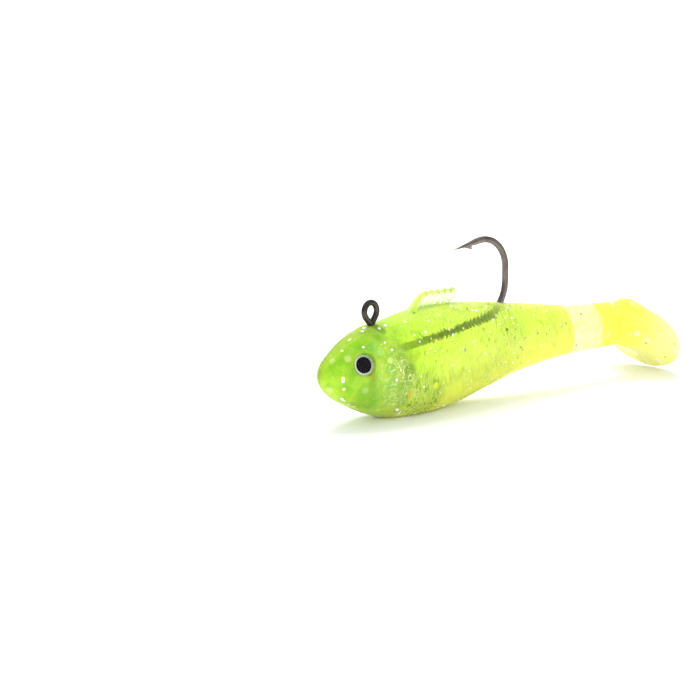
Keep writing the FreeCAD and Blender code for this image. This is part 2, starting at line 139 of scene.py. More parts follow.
FLAKE_HALF = 0.02         # half a flake's thickness
SEED = 41

CAMERA_TURN, CAMERA_RISE = math.radians(40), math.radians(10.8)
LENS_MM, SENSOR_MM = 102.86, 36


def srgb(red, green, blue):
    """An 8-bit display colour as the linear colour a shader takes."""
    def linear(value):
        value /= 255
        return value / 12.92 if value <= 0.04045 else ((value + 0.055) / 1.055) ** 2.4
    return (linear(red), linear(green), linear(blue), 1.0)


def at(s, y, z):
    """A point given by its distance from the snout, in the frame, in metres."""
    return Vector(((SNOUT_X + s) * MM, y * MM, z * MM))


def new_object(name, data):
    """An object with that data, put in the scene."""
    made = bpy.data.objects.new(name, data)
    bpy.context.collection.objects.link(made)
    return made


def ring_faces(rows, count):
    """Four-sided faces between that many rings, each with that many points."""
    return [(row * count + i, row * count + (i + 1) % count, (row + 1) * count + (i + 1) % count,
             (row + 1) * count + i) for row in range(rows - 1) for i in range(count)]


# Camera, floor and light --------------------

def make_camera():
    """The photograph's view: round towards the left of the snout, and a little from above."""
    turn, rise = CAMERA_TURN, CAMERA_RISE
    right = Vector((math.cos(turn), -math.sin(turn), 0))
    up = Vector((math.sin(turn) * math.sin(rise), math.cos(turn) * math.sin(rise), math.cos(rise)))
    forward = up.cross(right)
    touch = at(20, 0, 0)            # where the belly touches the floor
    depth, across, down = 0.454, 0.00885, 0.01498
    data = bpy.data.cameras.new("camera")
    data.lens = LENS_MM
    data.sensor_width = SENSOR_MM
    data.clip_start = 0.01
    camera = new_object("camera", data)
    stand = Matrix.Translation(touch - forward * depth - right * across + up * down)
    camera.matrix_world = stand @ Matrix((right, up, -forward)).transposed().to_4x4()
    bpy.context.scene.camera = camera


def make_floor():
    """A pale round table top."""
    radii, count = (0.0, 0.1, 0.2, 0.36), 48
    turns = [2 * math.pi * i / count for i in range(count)]
    points = [(radius * math.cos(turn), radius * math.sin(turn), 0) for radius in radii for turn in turns]
    data = bpy.data.meshes.new("floor")
    data.from_pydata(points, [], ring_faces(len(radii), count))
    floor = new_object("floor", data)
    m = Nodes("floor")
    m.set(Base_Color=(0.94, 0.94, 0.935, 1), Roughness=0.55, Specular_IOR_Level=0.3)
    data.materials.append(m.owner)


def make_light():
    """A white tent, dim at its sides, with a large lamp above and behind, and one in front.

    The camera itself always sees the tent white. The lamps light the lure but stay out of its
    reflections and of what shows through it, where they would be hard white squares.
    """
    scene = bpy.context.scene
    scene.view_settings.view_transform = "Standard"
    m = Nodes("studio", world=True)
    direction = m.add("ShaderNodeTexCoord", {}).outputs["Generated"]

    def glow(towards, stops):
        """Brightness of the tent by how far a direction leans towards another."""
        lean = m.add("ShaderNodeVectorMath", {0: direction, 1: towards}, operation="DOT_PRODUCT")
        return m.ramp(m.math("MULTIPLY_ADD", lean.outputs["Value"], 0.5, 0.5), stops)

    back = glow((math.sin(CAMERA_TURN), math.cos(CAMERA_TURN), 0),
                [(0.0, 0.60), (0.35, 0.50), (0.55, 0.50), (0.75, 1.0)])
    above = glow((0, 0, 1), [(0.65, 0.0), (0.9, 0.9)])
    seen = m.add("ShaderNodeLightPath", {}).outputs["Is Camera Ray"]
    m.set(Color=(1.05, 1.05, 1.05, 1), Strength=m.most(m.most(back, above), seen))
    scene.world = m.owner
    for name, place, size, power in (("top", (0.20, 0.28, 0.55), 0.40, 4.4),
                                     ("front", (-0.34, -0.46, 0.20), 0.30, 2.2)):
        data = bpy.data.lights.new(name, "AREA")
        data.size = size
        data.energy = power
        light = new_object(name, data)
        light.location = place
        light.rotation_euler = (Vector((0, 0, 0.01)) - Vector(place)).to_track_quat("-Z", "Y").to_euler()
        light.visible_glossy = False
        light.visible_transmission = False


# Shape of the moulding --------------------

def curve_value(s, column):
    """One column of SECTIONS at any distance, on a smooth curve through the sections."""
    last = len(SECTIONS) - 1
    number = next((i for i in range(last) if s < SECTIONS[i + 1][0]), last - 1)

    def slope(i):
        low, high = max(i - 1, 0), min(i + 1, last)
        return (SECTIONS[high][column] - SECTIONS[low][column]) / (SECTIONS[high][0] - SECTIONS[low][0])

    span = SECTIONS[number + 1][0] - SECTIONS[number][0]
    t = (s - SECTIONS[number][0]) / span
    a, b = SECTIONS[number][column], SECTIONS[number + 1][column]
    return (a * (2 * t ** 3 - 3 * t ** 2 + 1) + b * (3 * t ** 2 - 2 * t ** 3)
            + span * (slope(number) * (t ** 3 - 2 * t ** 2 + t) + slope(number + 1) * (t ** 3 - t ** 2)))


def section(s):
    """Middle height, half height and half width of the moulding at s."""
    if s < NOSE_LENGTH:
        top, low, half = SECTIONS[1][1:]
        share = max(s, 0) / NOSE_LENGTH
        middle = NOSE_HEIGHT + ((top + low) / 2 - NOSE_HEIGHT) * share
        return middle, (top - low) / 2 * share ** 0.5, half * share ** 0.39
    top, low, half = (curve_value(s, column) for column in (1, 2, 3))
    return (top + low) / 2, (top - low) / 2, half


def boxed(value, exponent):
    """A cosine or a sine for an oval: an exponent of 2 leaves it as it is, more makes a boxier oval."""
    return math.copysign(abs(value) ** (2 / exponent), value)


def oval_point(s, angle, depth=0.0):
    """A point on the moulding, or depth under it."""
    middle, tall, wide = section(s)
    y = (wide - depth) * boxed(math.cos(angle), FULLNESS)
    z = middle + (tall - depth) * boxed(math.sin(angle), FULLNESS)
    return Vector((s, y, max(z, depth)))


def smooth(low, high, value):
    """Rises smoothly from 0 at low to 1 at high."""
    t = min(max((value - low) / (high - low), 0), 1)
    return t * t * (3 - 2 * t)


def eye_frame(side):
    """Seat and outward normal of an eye; side is -1 on the left cheek and 1 on the right."""
    normal = Vector((EYE_NORMAL[0], side * EYE_NORMAL[1], EYE_NORMAL[2])).normalized()
    return Vector((EYE_AT, side * EYE_SIDE, EYE_HEIGHT)), normal


def ridge(s, z, uneven):
    """Height of the fine upright ridges on the flank, each one an uneven zigzag from belly to back."""
    zigzag = abs((z / ZIGZAG_HEIGHT) % 2 - 1) * ZIGZAG_REACH
    wave = math.cos(2 * math.pi * (s + zigzag + 0.5 * uneven) / RIDGE_PITCH)
    envelope = smooth(20, 27, s) * (1 - 0.8 * smooth(50, 60, s)) * (1 - smooth(84, 92, s))
    return RIDGE_HEIGHT * wave * envelope


def skin_point(s, angle):
    """A point of the outer skin with its ridges, waviness and eye sockets."""
    point = oval_point(s, angle)
    outward = Vector((0, math.cos(angle), math.sin(angle)))
    flank = smooth(0.04, 0.40, abs(math.cos(angle)))
    back = 1 - 0.6 * smooth(0.75, 0.95, math.sin(angle))
    lift = ridge(s, point.z, noise.noise(point * 0.8)) * flank * back
    lift *= 0.8 + 0.9 * noise.noise(point * 0.5)
    seam_fade = 1 - math.exp(-((s - FRONT_SEAM) / 2) ** 2) - math.exp(-((s - TAIL_SEAM) / 2) ** 2)
    lift += 0.10 * noise.noise(point * 0.22) * max(seam_fade, 0)
    gill = GILL_AT + 1.6 * math.cos((point.z - 11) / 9 * 1.5)
    lift -= GILL_DEPTH * math.exp(-((s - gill) / 0.5) ** 2) * flank
    point += outward * lift
    for side in (-1, 1):
        centre, normal = eye_frame(side)
        across = point - centre
        rise = across.dot(normal)
        radius = (across - normal * rise).length
        if radius < 4 and side * point.y > 0:
            point -= normal * (rise + EYE_DEPTH + 0.12) * (1 - smooth(2.30, 2.62, radius))
            point += normal * 0.22 * math.exp(-((radius - 2.95) / 0.35) ** 2)
    point.z = max(point.z, 0)
    return point


def mesh_object(name, materials, points, faces):
    """A mesh piece from points in millimetres, with its resting place and share kept for textures."""
    data = bpy.data.meshes.new(name)
    data.from_pydata([at(*point) for point in points], [], faces)
    places = data.attributes.new("rest", "FLOAT_VECTOR", "POINT")
    shares = data.attributes.new("share", "FLOAT_VECTOR", "POINT")
    for place, share, point in zip(places.data, shares.data, points):
        middle, tall, wide = section(min(point.x, SECTIONS[-1][0]))
        place.vector = point
        share.vector = (abs(point.y) / max(wide, 0.5), (point.z - middle) / max(tall, 0.5), 0)
    for polygon in data.polygons:
        polygon.use_smooth = True
    for material in materials:
        data.materials.append(material)
    return new_object(name, data)


def bridge(rings, close_start=None, close_end=None):
    """Points and faces of a tube through rings of equal length; a closing point makes a cap."""
    points = [point for ring in rings for point in ring]
    count = len(rings[0])
    faces = ring_faces(len(rings), count)
    if close_start is not None:
        points.append(close_start)
        faces += [((i + 1) % count, i, len(points) - 1) for i in range(count)]
    if close_end is not None:
        points.append(close_end)
        base = (len(rings) - 1) * count
        faces += [(base + i, base + (i + 1) % count, len(points) - 1) for i in range(count)]
    return points, faces


def ring_at(s):
    """One ring of the skin."""
    return [skin_point(s, 2 * math.pi * i / AROUND) for i in range(AROUND)]


def stations(start, end):
    """Evenly spaced distances for rings, from start to end."""
    count = max(int(round((end - start) / RING_STEP)), 1)
    return [start + (end - start) * i / count for i in range(count + 1)]


# Paddle --------------------

PADDLE_TOP = Vector((98.2, 0, 18.4))
PADDLE_TILT = math.radians(32)
PADDLE_WIDTH, PADDLE_DROP = 12.4, 21.0
PADDLE_OUTLINE = [(0.14, 0.0), (0.44, 0.10), (0.80, 0.23), (1.0, 0.45), (0.93, 0.69), (0.58, 0.91)]
PADDLE_UP = Vector((-math.sin(PADDLE_TILT), 0, math.cos(PADDLE_TILT)))
PADDLE_REAR = Vector((math.cos(PADDLE_TILT), 0, math.sin(PADDLE_TILT)))
PADDLE_MIDDLE = 7.4       # how far below its top the stem's middle meets the disc
PADDLE_HALF = 1.15        # half its thickness
PADDLE_EDGE = 1.0         # radius of its rounded rim
NECK_END = 95.0


def paddle_rim():
    """Radius of the paddle's outline from the point where the stem meets it, for each ring angle."""
    right = [(PADDLE_WIDTH * a, PADDLE_MIDDLE - PADDLE_DROP * d) for a, d in PADDLE_OUTLINE]
    corners = right + [(0, PADDLE_MIDDLE - PADDLE_DROP)] + [(-x, y) for x, y in reversed(right)]
    outline = []
    count = len(corners)
    for i in range(count):
        p = [Vector(corners[(i + k - 1) % count]) for k in range(4)]
        for step in range(24):
            t = step / 24
            outline.append(0.5 * (2 * p[1] + (p[2] - p[0]) * t
                                  + (2 * p[0] - 5 * p[1] + 4 * p[2] - p[3]) * t ** 2
                                  + (3 * p[1] - p[0] - 3 * p[2] + p[3]) * t ** 3))
    polar = sorted((math.atan2(p.y, p.x) % (2 * math.pi), p.length) for p in outline)
    before, after = (polar[-1][0] - 2 * math.pi, polar[-1][1]), (polar[0][0] + 2 * math.pi, polar[0][1])
    polar = [before] + polar + [after]
    radii = []
    for i in range(AROUND):
        angle = 2 * math.pi * i / AROUND
        k = next(j for j in range(len(polar) - 1) if polar[j][0] <= angle <= polar[j + 1][0])
        (a0, r0), (a1, r1) = polar[k], polar[k + 1]
        radii.append(r0 + (r1 - r0) * (angle - a0) / max(a1 - a0, 1e-9))
    return radii


def paddle_point(angle, radius, offset):
    """A point in the paddle: polar in the disc's plane, and an offset towards its rear face."""
    return (PADDLE_TOP - PADDLE_UP * PADDLE_MIDDLE + Vector((0, 1, 0)) * radius * math.cos(angle)
            + PADDLE_UP * radius * math.sin(angle) + PADDLE_REAR * offset)


def paddle_rings():
    """Rings from the end of the neck, down the fillet, over the front face, rim and rear face."""
    rim = paddle_rim()
    angles = [2 * math.pi * i / AROUND for i in range(AROUND)]
    neck = [skin_point(NECK_END, angle) for angle in angles]
    corner, foot = [], []
    for angle, start, edge in zip(angles, neck, rim):
        flat = Vector((start.y, start.z - (PADDLE_TOP - PADDLE_UP * PADDLE_MIDDLE).z))
        radius = min(flat.length * 1.05, edge * 0.80)
        corner.append(paddle_point(angle, radius, -PADDLE_HALF))
        foot.append(min(radius + 4.6, edge - 1.5))
    rings = [neck]
    for step in range(1, 11):
        t = step / 10
        rings.append([a * (1 - t) ** 2 + c * (2 * t * (1 - t)) + paddle_point(angle, r, -PADDLE_HALF) * t ** 2
                      for a, c, angle, r in zip(neck, corner, angles, foot)])
    for step in range(1, 9):
        t = step / 8
        rings.append([])
        for angle, r, edge in zip(angles, foot, rim):
            run = edge - PADDLE_EDGE - r
            dish = 0.18 * math.sin(math.pi * t) * min(run / 4, 1)
            rings[-1].append(paddle_point(angle, r + run * t, -PADDLE_HALF - dish))
    for _ in range(80):
        rings = [rings[0]] + [[(a + b * 2 + c) / 4 for a, b, c in zip(*rings[k - 1:k + 2])]
                              for k in range(1, len(rings) - 1)] + [rings[-1]]
    rings.pop(0)
    for step in range(1, 9):
        turn = math.pi * step / 8
        rings.append([paddle_point(angle, edge - PADDLE_EDGE + math.sin(turn), -PADDLE_HALF * math.cos(turn))
                      for angle, edge in zip(angles, rim)])
    for step in range(1, 14):
        t = 1 - step / 14
        rings.append([paddle_point(angle, (edge - PADDLE_EDGE) * t, PADDLE_HALF + 0.25 * (1 - t * t))
                      for angle, edge in zip(angles, rim)])
    return rings, paddle_point(0, 0, PADDLE_HALF + 0.25)


# Materials --------------------

class Nodes:
    """Short hand for the nodes of a new material or world. An argument is a number, a colour or an output."""

    def __init__(self, name, world=False):
        self.owner = (bpy.data.worlds if world else bpy.data.materials).new(name)
        self.owner.use_nodes = True
        self.tree = self.owner.node_tree
        self.shader = self.tree.nodes["Background" if world else "Principled BSDF"]
        self.colour = None

    def feed(self, socket, value):
        if isinstance(value, (int, float, tuple)):
            socket.default_value = value
        else:
            self.tree.links.new(value, socket)

    def add(self, kind, sockets, **values):
        """A new node with its sockets fed and its properties set."""
        node = self.tree.nodes.new(kind)
        for name, value in values.items():
            setattr(node, name, value)
        for key, value in sockets.items():
            self.feed(node.inputs[key], value)
        return node

    def set(self, **values):
        """Feeds sockets of the shader, their names written with underscores."""
        for name, value in values.items():
            self.feed(self.shader.inputs[name.replace("_", " ")], value)

    def attribute(self, name):
        return self.add("ShaderNodeAttribute", {}, attribute_name=name).outputs["Vector"]

    def rest(self):
        """Where a point of a mesh piece lies at rest, in millimetres."""
        return self.attribute("rest")

    def place(self):
        """Where a point lies in the frame at rest, in metres."""
        return self.add("ShaderNodeTexCoord", {}).outputs["Object"]

    def split(self, vector):
        return self.add("ShaderNodeSeparateXYZ", {0: vector}).outputs

    def noise(self, scale, detail=2.0, roughness=0.5, where=None):
        sockets = {"Vector": where or self.rest(), "Scale": scale, "Detail": detail, "Roughness": roughness}
        return self.add("ShaderNodeTexNoise", sockets).outputs["Fac"]

    def stretched_noise(self, scale, detail):
        return self.noise(1.0, detail, where=self.stretch(self.rest(), scale))

    def stretch(self, vector, scale):
        return self.add("ShaderNodeMapping", {"Vector": vector, "Scale": scale}).outputs["Vector"]

    def ramp(self, source, stops):
        """A colour ramp. A stop is its place with a grey level or an 8-bit display colour."""
        node = self.add("ShaderNodeValToRGB", {"Fac": source})
        elements = node.color_ramp.elements
        while len(elements) < len(stops):
            elements.new(0.5)
        for element, (place, value) in zip(elements, stops):
            element.position = place
            element.color = srgb(*value) if isinstance(value, tuple) else (value, value, value, 1)
        return node.outputs["Color"]

    def math(self, operation, *values):
        node = self.add("ShaderNodeMath", dict(enumerate(values)), operation=operation)
        return node.outputs["Value"]

    def times(self, first, *others):
        for other in others:
            first = self.math("MULTIPLY", first, other)
        return first

    def plus(self, first, second):
        return self.math("ADD", first, second)

    def minus(self, first, second):
        return self.math("SUBTRACT", first, second)

    def inverse(self, value):
        return self.minus(1.0, value)

    def most(self, first, second):
        return self.math("MAXIMUM", first, second)

    def mix(self, factor, first, second, kind="MIX"):
        node = self.add("ShaderNodeMix", {}, data_type="RGBA", blend_type=kind)
        for number, value in ((0, factor), (6, first), (7, second)):
            self.feed(node.inputs[number], value)
        return node.outputs[2]

    def lay(self, tone, *masks):
        """Lays an 8-bit display colour or an output over self.colour as far as the masks' product says."""
        tone = srgb(*tone) if isinstance(tone, tuple) else tone
        self.colour = self.mix(self.times(*masks), self.colour, tone)

    def step(self, value, start, width):
        """Rises from 0 at start to 1 after width."""
        return self.add("ShaderNodeMapRange", {"Value": value, "From Min": start, "From Max": start + width},
                        interpolation_type="SMOOTHSTEP").outputs["Result"]

    def circle(self, s, z, at_s, at_z, radius, soft):
        """1 inside a circle on the flank, its edge softened and made uneven by noise."""
        across = self.math("POWER", self.minus(s, at_s), 2.0)
        down = self.math("POWER", self.minus(z, at_z), 2.0)
        distance = self.math("DIVIDE", self.math("SQRT", self.plus(across, down)), radius)
        uneven = self.plus(distance, self.times(self.minus(self.noise(0.7), 0.5), soft * 0.6))
        return self.inverse(self.step(uneven, 1.0 - soft * 0.5, soft * 0.5))

    def facets(self, scale, warp):
        """Crumpled facets: a random tone for each one, and the distance to its nearest crease."""
        wander = self.add("ShaderNodeTexNoise", {"Vector": self.rest(), "Scale": 0.5}).outputs["Color"]
        push = self.add("ShaderNodeVectorMath", {0: wander, 1: (warp, warp, warp), 2: self.rest()},
                        operation="MULTIPLY_ADD").outputs["Vector"]
        where = {"Vector": self.stretch(push, scale), "Scale": 1.0}
        cells = self.add("ShaderNodeTexVoronoi", where, feature="F1")
        creases = self.add("ShaderNodeTexVoronoi", where, feature="DISTANCE_TO_EDGE")
        tone = self.add("ShaderNodeSeparateColor", {0: cells.outputs["Color"]})
        return tone.outputs["Red"], creases.outputs["Distance"]

    def spots(self, scale, radius, soft, share):
        """1 inside round spots scattered at random, in that share of the cells they are laid out in."""
        cells = self.add("ShaderNodeTexVoronoi", {"Vector": self.rest(), "Scale": scale}, feature="F1")
        spot = self.inverse(self.step(cells.outputs["Distance"], radius * scale, soft * scale))
        pick = self.add("ShaderNodeSeparateColor", {0: cells.outputs["Color"]})
        return self.times(spot, self.math("LESS_THAN", pick.outputs["Red"], share))

    def bump(self, height, strength, distance):
        node = self.add("ShaderNodeBump", {"Strength": strength, "Distance": distance, "Height": height})
        self.set(Normal=node.outputs["Normal"])


def skin_material():
    """Soft plastic: green head, chartreuse back, yellow tail, with a pale band in the stem."""
    m = Nodes("soft_plastic")
    s, y, z = m.split(m.rest())
    sideways, upwards, _ = m.split(m.attribute("share"))
    along = m.ramp(m.math("DIVIDE", s, COLOUR_LENGTH), [
        (0.00, (198, 240, 62)), (0.12, (190, 234, 64)), (0.24, (210, 242, 94)),
        (0.52, (230, 249, 112)), (0.64, (242, 252, 122)), (0.80, (250, 252, 120)),
        (0.90, (253, 253, 136)), (1.00, (254, 254, 160))])
    # Painted shade by height: a little darker and yellower towards the belly.
    shade = m.ramp(m.math("DIVIDE", z, COLOUR_HEIGHT), [
        (0.0, (250, 232, 110)), (0.25, (255, 250, 205)), (1.0, (242, 255, 222))])
    colour = m.mix(0.8, along, shade, "MULTIPLY")

    # Painted light and shade: upright pale and dark streaks in the flank, where its ridges catch the light.
    streaks = m.stretched_noise((2.6, 2.6, 0.5), 3.0)
    streak_light_and_shade = m.ramp(streaks, [(0.30, (172, 202, 118)), (0.48, (250, 252, 240)), (0.70, (244, 252, 200))])
    streak_light_and_shade = m.mix(m.times(m.step(s, 80.0, 10.0), 0.75), streak_light_and_shade, srgb(255, 255, 250))
    m.colour = m.mix(0.8, colour, streak_light_and_shade, "MULTIPLY")

    # The belly is yellower and painted paler, as painted light from the floor; the back from the head on is
    # painted paler, as painted light from above.
    wavering = m.plus(upwards, m.times(m.minus(m.noise(0.25, 3.0), 0.5), 0.7))
    belly = m.times(m.inverse(m.step(wavering, -1.0, 1.3)),
                    m.minus(m.plus(0.4, m.times(m.step(s, 10.0, 12.0), 0.6)), m.step(s, 82.0, 8.0)))
    crown = m.times(m.inverse(m.step(sideways, 0.20, 0.65)), m.step(upwards, 0.0, 0.5),
                    m.step(s, 8.0, 20.0))
    m.lay((234, 254, 120), crown, 0.5)
    m.lay((253, 252, 108), belly, 0.62)
    snout = m.inverse(m.step(s, 12.0, 9.0))
    outline = m.inverse(m.step(sideways, 0.05, 0.70))

    # Where the film shows through the cheek, and more faintly over the keel.
    film_edge = m.most(m.circle(s, z, *FILM_CHEEK, 0.6), m.times(m.circle(s, z, *FILM_KEEL, 1.4), 0.5))
    behind_eye = m.step(s, 9.6, 2.2)
    film_mask = m.times(film_edge, behind_eye, m.step(sideways, 0.3, 0.3))

    # The film is crumpled: dull and bright facets, painted shade in each fold, painted highlights in short
    # pieces along its creases, and scattered painted glint highlights.
    large_tone, large_crease = m.facets((0.34, 0.28, 0.22), 5.0)
    small_tone, small_crease = m.facets((0.85, 0.7, 0.60), 2.6)
    soft_tone = m.noise(0.55, 4.0, 0.6)
    mixed = m.plus(m.times(large_tone, 0.26), m.times(small_tone, 0.20))
    film_tone = m.ramp(m.plus(mixed, m.times(soft_tone, 0.54)), [
        (0.26, (96, 142, 40)), (0.40, (142, 172, 62)), (0.50, (172, 194, 86)),
        (0.60, (152, 178, 74)), (0.72, (222, 228, 148))])
    m.lay(film_tone, film_mask, 0.85)
    fold_shade = m.inverse(m.step(small_crease, 0.02, 0.08))
    m.lay((120, 164, 62), film_mask, fold_shade, 0.35)
    crumpled = m.plus(m.times(m.circle(s, z, 15.5, 10.0, 6.5, 1.0), 0.75), 0.25)
    lines = m.times(m.inverse(m.step(large_crease, 0.01, 0.05)), crumpled)
    crease_highlights = m.times(lines, m.step(m.noise(0.8, 3.0), 0.40, 0.20))
    m.lay((250, 254, 206), film_mask, crease_highlights)
    glint_highlights = m.times(m.step(m.noise(1.5, 2.0), 0.60, 0.08), film_mask)
    m.lay((246, 250, 190), glint_highlights, 0.8)

    # The keel of the lead: a greener patch with upright dark strokes, fainter above it.
    keel = m.circle(s, z, FILM_KEEL[0], FILM_KEEL[1], FILM_KEEL[2] * 0.95, 0.9)
    m.lay((190, 222, 84), keel, 0.25)
    strokes = m.inverse(m.step(m.stretched_noise((1.7, 1.7, 0.42), 2.0), 0.38, 0.10))
    m.lay((104, 152, 44), keel, strokes, 0.85)
    flank = m.times(m.circle(s, z, 26.0, 10.0, 8.0, 1.0), strokes)
    m.lay((168, 200, 56), flank, 0.5)
    teal = m.times(m.circle(s, z, 11.6, 17.4, 1.9, 0.6),
                   m.ramp(m.noise(1.2), [(0.40, 0.0), (0.55, 1.0)]))
    m.lay((110, 214, 160), teal, 0.75)

    # The head: blotches of darker green, pale spots from sunken flakes, painted shade on the jaw, the hook's
    # leg and a few coloured specks.
    mottle = m.ramp(m.noise(0.30, 2.0), [(0.36, (126, 204, 50)), (0.60, (208, 242, 84))])
    m.lay(mottle, snout, 0.6, m.step(sideways, 0.1, 0.7))
    m.lay((208, 240, 84), snout, outline, 0.6)
    m.lay((238, 253, 160), m.spots(0.26, 0.45, 0.6, 0.75), snout, 0.9)
    jaw = m.times(m.circle(s, z, 10.0, 6.8, 4.6, 1.0), m.step(sideways, 0.2, 0.4))
    m.lay((112, 178, 52), jaw, 0.38)
    leg = m.circle(s, z, 14.8, 21.0, 1.3, 0.9)
    m.lay((84, 140, 48), leg, 0.6)
    for at_s, at_z, radius, tone in ((9.6, 11.3, 0.75, (216, 176, 48)), (20.0, 6.0, 0.7, (244, 190, 60)),
                                     (27.4, 7.4, 0.9, (246, 250, 60))):
        m.lay(tone, m.circle(s, z, at_s, at_z, radius, 0.9), 0.8)

    # The paddle is deep yellow in its middle and paler towards its thin rim.
    disc = m.circle(y, z, 0.0, 13.0, 11.5, 1.6)
    rim = m.times(m.inverse(disc), m.step(s, 96.0, 6.0))
    m.lay((254, 254, 196), rim, 0.65)

    # Two greener patches, pale spots and dark specks in the stem and the paddle.
    rear = m.step(s, 88.0, 4.0)
    green = m.plus(m.circle(s, z, 94.5, 12.5, 3.6, 1.0), m.circle(s, z, 107.5, 4.2, 2.4, 1.0))
    m.lay((222, 254, 90), green, 0.4)
    m.lay((255, 255, 226), m.spots(0.34, 0.30, 0.8, 0.6), rear, 0.85)
    m.lay((148, 156, 24), m.spots(0.37, 0.13, 0.4, 0.45), rear, 0.75)

    # Painted highlights: three short pale lines in the flank.
    marks = m.math("COSINE", m.times(m.minus(z, m.times(s, 0.18)), 2 * math.pi / 0.8))
    marks = m.times(m.step(marks, 0.4, 0.5), m.circle(s, z, 53.6, 14.2, 3.4, 0.8))
    m.lay((248, 253, 176), marks, 0.55)

    # The pale band in the stem, with a slanted uneven edge.
    edge = m.plus(m.plus(s, m.times(z, 0.28)), m.times(m.noise(0.6, 3.0), 3.0))
    band = m.times(m.step(edge, 81.0, 1.0), m.inverse(m.step(edge, 91.0, 2.6)))
    uneven = m.ramp(m.noise(0.8, 4.0), [(0.35, 0.45), (0.6, 0.85)])
    m.lay((253, 254, 208), band, uneven)

    # Fine glitter too small to be cut as flakes.
    m.lay((255, 255, 228), m.spots(0.95, 0.10, 0.05, 0.4), 0.8)

    # Clearest over the shank, cloudier towards the tail and over the film, the belly, the back and the keel.
    clear = m.ramp(m.math("DIVIDE", s, COLOUR_LENGTH), [
        (0.16, 0.55), (0.26, 0.80), (0.45, 0.80),
        (0.53, 0.45), (0.75, 0.36), (0.90, 0.25)])
    cloud = m.most(m.times(film_mask, 0.45), m.times(belly, 0.55))
    cloud = m.most(cloud, m.times(crown, 0.4))
    cloud = m.most(cloud, m.times(m.circle(s, z, 24.5, 8.0, 9.0, 1.0), 0.6))
    m.set(Base_Color=m.colour, Transmission_Weight=m.times(clear, m.inverse(cloud)),
          Roughness=m.minus(0.42, m.times(m.step(sideways, 0.10, 0.55), 0.29)), IOR=1.36,
          Specular_IOR_Level=0.2, Subsurface_Weight=0.9, Subsurface_Scale=0.003,
          Subsurface_Radius=(1.0, 1.0, 0.35))
    m.bump(m.noise(1.6, 2.0, 0.5), 0.25, 0.00005)
    return m.owner


def fin_material():
    """Fin plastic: whitish web, greener along the top with a dark mark on each rib's tip."""
    m = Nodes("fin_plastic")
    s, _, z = m.split(m.rest())
    m.colour = m.ramp(m.math("DIVIDE", m.minus(z, 24.0), 4.0), [
        (0.0, (206, 248, 84)), (0.22, (238, 252, 190)), (0.55, (246, 253, 214)),
        (0.72, (222, 248, 130)), (0.82, (196, 236, 92)), (1.0, (206, 242, 104))])
    front = m.inverse(m.step(m.minus(s, z), 2.9, 1.6))
    m.lay((206, 250, 84), front)
    ribs = m.math("COSINE", m.times(m.minus(s, FIN_MARK), 2 * math.pi / FIN_PITCH))
    marks = m.times(m.step(ribs, 0.55, 0.4), m.step(z, 26.3, 0.5), m.inverse(m.step(z, 27.1, 0.4)),
                    m.inverse(front))
    rim = m.step(z, 26.2, 0.6)
    m.lay((110, 150, 70), marks, 0.8)
    m.set(Base_Color=m.colour, Transmission_Weight=m.minus(0.72, m.times(m.most(front, rim), 0.45)),
          Roughness=0.3, IOR=1.3, Subsurface_Weight=0.5, Subsurface_Scale=0.001)
    m.bump(m.noise(5.0, 3.0), 0.3, 0.00005)
    return m.owner


def lead_material():
    """Painted lead casting: fluorescent green, yellower towards its rear end."""
    m = Nodes("painted_lead")
    where = m.place()
    x, _, _ = m.split(where)
    along = m.math("DIVIDE", m.minus(x, SNOUT_X * MM), 0.034)
    grain = m.noise(260, where=where)
    m.set(Roughness=0.42, Base_Color=m.ramp(m.plus(along, m.times(grain, 0.12)), [
        (0.0, (206, 248, 130)), (0.40, (186, 244, 116)), (0.62, (190, 234, 116)), (1.0, (196, 228, 110))]))
    m.bump(grain, 0.5, 0.0003)
    return m.owner


def foil_material():
    """Crinkled holographic film, half clear: silver and olive with teal, gold and orange patches."""
    m = Nodes("holographic_film")
    s, _, z = m.split(m.rest())
    colour = m.ramp(m.noise(0.42, 3.0, 0.62), [
        (0.28, (252, 190, 90)), (0.36, (240, 240, 196)), (0.45, (220, 232, 196)), (0.53, (252, 254, 240)),
        (0.60, (150, 244, 214)), (0.68, (232, 238, 204)), (0.80, (255, 236, 150))])
    fade = m.most(m.circle(s, z, *FILM_CHEEK, 0.8), m.times(m.circle(s, z, *FILM_KEEL, 0.8), 0.5))
    cover = m.ramp(m.noise(1.1, 4.0, 0.7), [(0.35, 0.15), (0.62, 0.80)])
    m.set(Base_Color=colour, Metallic=0.25, Roughness=0.35, Alpha=m.times(cover, fade))
    m.bump(m.noise(2.4, 4.0), 1.0, 0.0006)
    return m.owner


def plain_material(name, colour, rough, metal=0.0, **extra):
    """One colour with a fine grain in its tone and its roughness."""
    m = Nodes(name)
    grain = m.noise(900, where=m.place())
    darker = tuple(c * 0.72 for c in colour[:3]) + (1,)
    m.set(Base_Color=m.mix(grain, darker, colour), Roughness=m.plus(m.times(grain, 0.10), rough - 0.05),
          Metallic=metal, **extra)
    return m.owner


def hook_material():
    """Black nickel over forged steel, worn lighter near the point, and teal where the plastic covers it."""
    m = Nodes("black_nickel")
    where = m.place()
    x, _, z = m.split(where)
    grain = m.noise(420, 5, where=where)
    worn = m.times(m.math("GREATER_THAN", z, 0.034), m.math("LESS_THAN", x, -0.006))
    m.colour = m.mix(grain, srgb(80, 72, 68), srgb(140, 130, 124))
    m.lay((168, 152, 140), worn, 0.25)
    sunk = m.inverse(m.step(m.minus(z, m.times(x, 0.045)), 0.0222, 0.0008))
    m.lay((14, 84, 134), sunk, 0.9)
    towards_ring = m.times(m.step(m.times(x, -1.0), 0.024, 0.014), m.inverse(sunk))
    m.lay((46, 40, 38), towards_ring, 0.7)
    m.set(Base_Color=m.colour, Roughness=m.plus(m.times(grain, 0.22), 0.16),
          Metallic=m.minus(0.95, m.times(sunk, 0.75)))
    m.bump(grain, 0.25, 0.00006)
    return m.owner


# Skin and flakes --------------------

